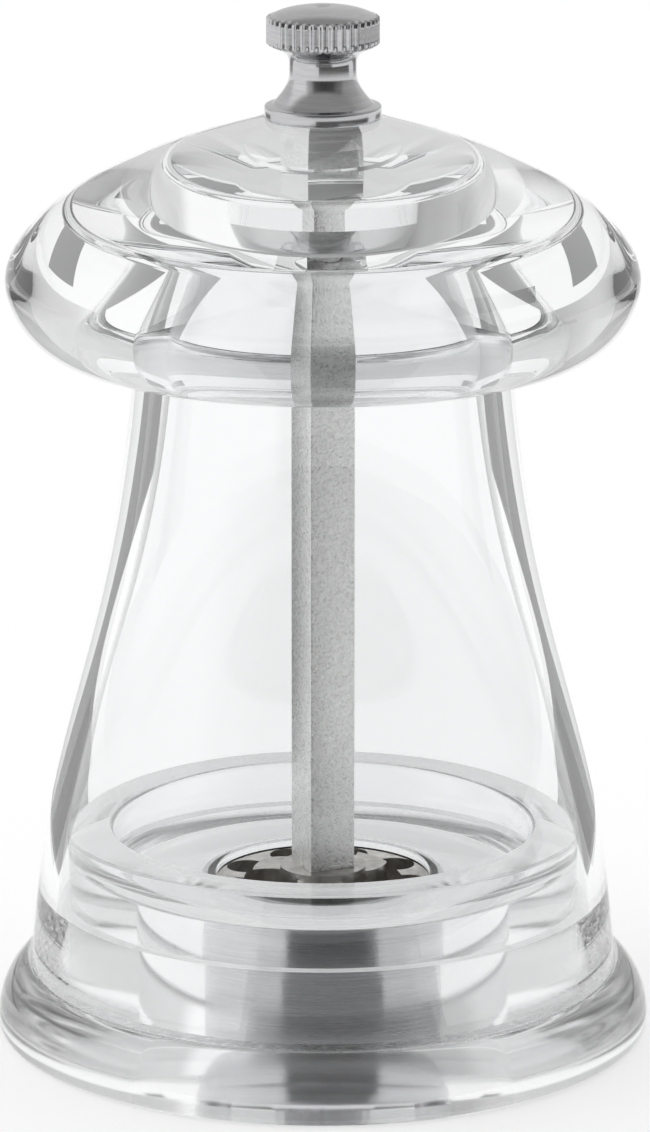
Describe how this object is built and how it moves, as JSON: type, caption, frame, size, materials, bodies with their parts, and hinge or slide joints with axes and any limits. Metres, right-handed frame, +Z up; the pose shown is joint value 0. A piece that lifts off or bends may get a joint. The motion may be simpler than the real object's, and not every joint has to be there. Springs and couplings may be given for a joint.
{
  "type": "pepper mill",
  "caption": "Clear acrylic pepper mill with a bell-shaped body, mushroom cap, knurled thumb nut, square spindle and steel grinder.",
  "frame": {"origin": "centre of the foot's underside, on the surface that the mill stands on", "axes": "+Z up the mill's axis of symmetry; +X to the right and -Y towards the viewer as pictured"},
  "size_m": [0.0698, 0.0698, 0.11],
  "materials": {
    "clear_acrylic": "clear polished acrylic",
    "polished_steel": "polished",
    "spindle_metal": "dull, fine grain",
    "brushed_sleeve": "brushed around the axis",
    "grinder_cast": "plated casting, rough",
    "small_steel": "plain",
    "bush_steel": "dark, plain"
  },
  "bodies": {
    "housing": {"bell_body": "clear_acrylic", "base_foot": "clear_acrylic", "mill_sleeve": "brushed_sleeve", "stator_ring": "grinder_cast", "bottom_plate": "brushed_sleeve", "plate_screw_1": "small_steel", "plate_screw_2": "small_steel", "plate_screw_3": "small_steel"},
    "bush": {"lower_bush": "bush_steel", "thrust_washer": "bush_steel", "bush_clip": "small_steel"},
    "spindle_set": {"spindle": "spindle_metal", "rotor": "grinder_cast", "rotor_spring": "small_steel", "spring_washer": "small_steel", "spindle_clip": "small_steel"},
    "head": {"cap": "clear_acrylic"},
    "nut": {"thumb_nut": "polished_steel"}
  },
  "joints": [
    {"name": "head_spin", "type": "hinge", "parent": "housing", "child": "bush", "pos_m": [0, 0, 0.0016], "axis": [0, 0, 1], "continuous": true},
    {"name": "spindle_adjust", "type": "slide", "parent": "bush", "child": "spindle_set", "axis": [0, 0, 1], "range_m": [-0.0016, 0]},
    {"name": "cap_lift", "type": "slide", "parent": "bush", "child": "head", "axis": [0, 0, 1], "range_m": [0, 0.04]},
    {"name": "nut_turn", "type": "hinge", "parent": "head", "child": "nut", "pos_m": [0, 0, 0.1], "axis": [0, 0, 1], "range_deg": [0, 720]}
  ],
  "couplings": [
    {"joint": "nut_turn", "follows": "spindle_adjust", "rad_per_m": -7854}
  ]
}
